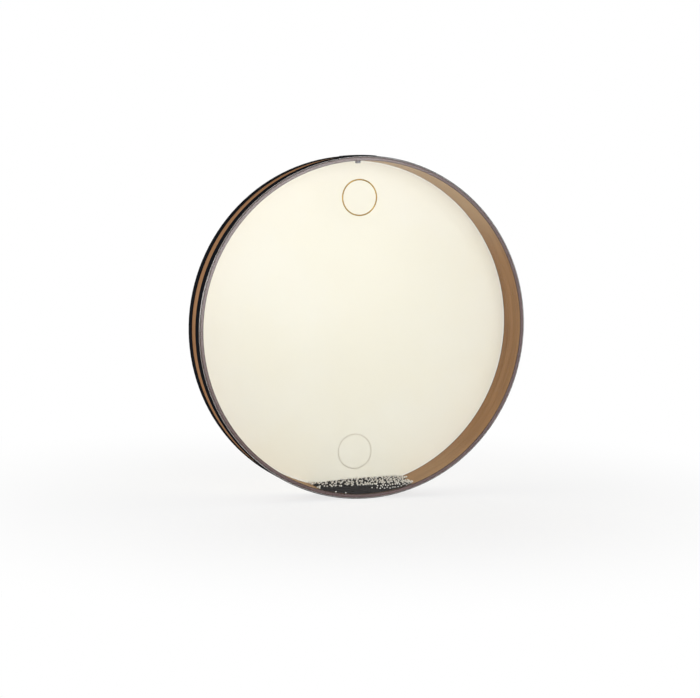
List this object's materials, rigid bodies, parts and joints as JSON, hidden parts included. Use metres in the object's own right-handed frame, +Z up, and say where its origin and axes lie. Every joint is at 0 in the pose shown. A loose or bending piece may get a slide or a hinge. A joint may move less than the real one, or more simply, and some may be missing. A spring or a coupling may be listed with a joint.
{
  "type": "ocean drum",
  "caption": "Shallow round frame drum with a clear and a cream film head, and a heap of fine shot and light beads that rolls inside for a surf sound.",
  "frame": {"origin": "centre of the drum, halfway between its heads on its axis", "axes": "+Y along the drum's axis from the clear front head towards the cream back head, +Z straight up at rest, with the heap at the lowest point of the wall and the crown plate close to the top, +X to the right as seen from the front"},
  "size_m": [0.5605, 0.07, 0.5619],
  "materials": {
    "brown_veneer": "stained veneer under satin lacquer",
    "plum_ply": "dyed plywood edge, satin",
    "clear_film": "clear glossy film",
    "cream_film": "cream film with a soft satin face",
    "black_band": "black satin trim",
    "black_plate": "black, slightly glossy, bare",
    "steel": "dull zinc-plated",
    "dark_shot": "fine dark metal shot",
    "light_bead": "off-white glossy beads"
  },
  "bodies": {
    "drum": {"outer_ply": "brown_veneer", "outer_cross_ply": "plum_ply", "core_ply": "plum_ply", "inner_cross_ply": "plum_ply", "inner_ply": "brown_veneer", "front_head": "clear_film", "back_head": "cream_film", "front_trim_band": "black_band", "back_trim_band": "black_band", "crown_plate": "black_plate", "plate_screw": "steel", "plate_washer": "steel", "plate_nut": "steel"},
    "beads": {"dark_shot": "dark_shot", "front_beads": "light_bead", "middle_beads": "light_bead", "back_beads": "light_bead", "window_beads": "light_bead"}
  },
  "joints": [
    {"name": "bead_roll", "type": "hinge", "parent": "drum", "child": "beads", "pos_m": [0, 0, 0], "axis": [0, 1, 0], "continuous": true}
  ]
}
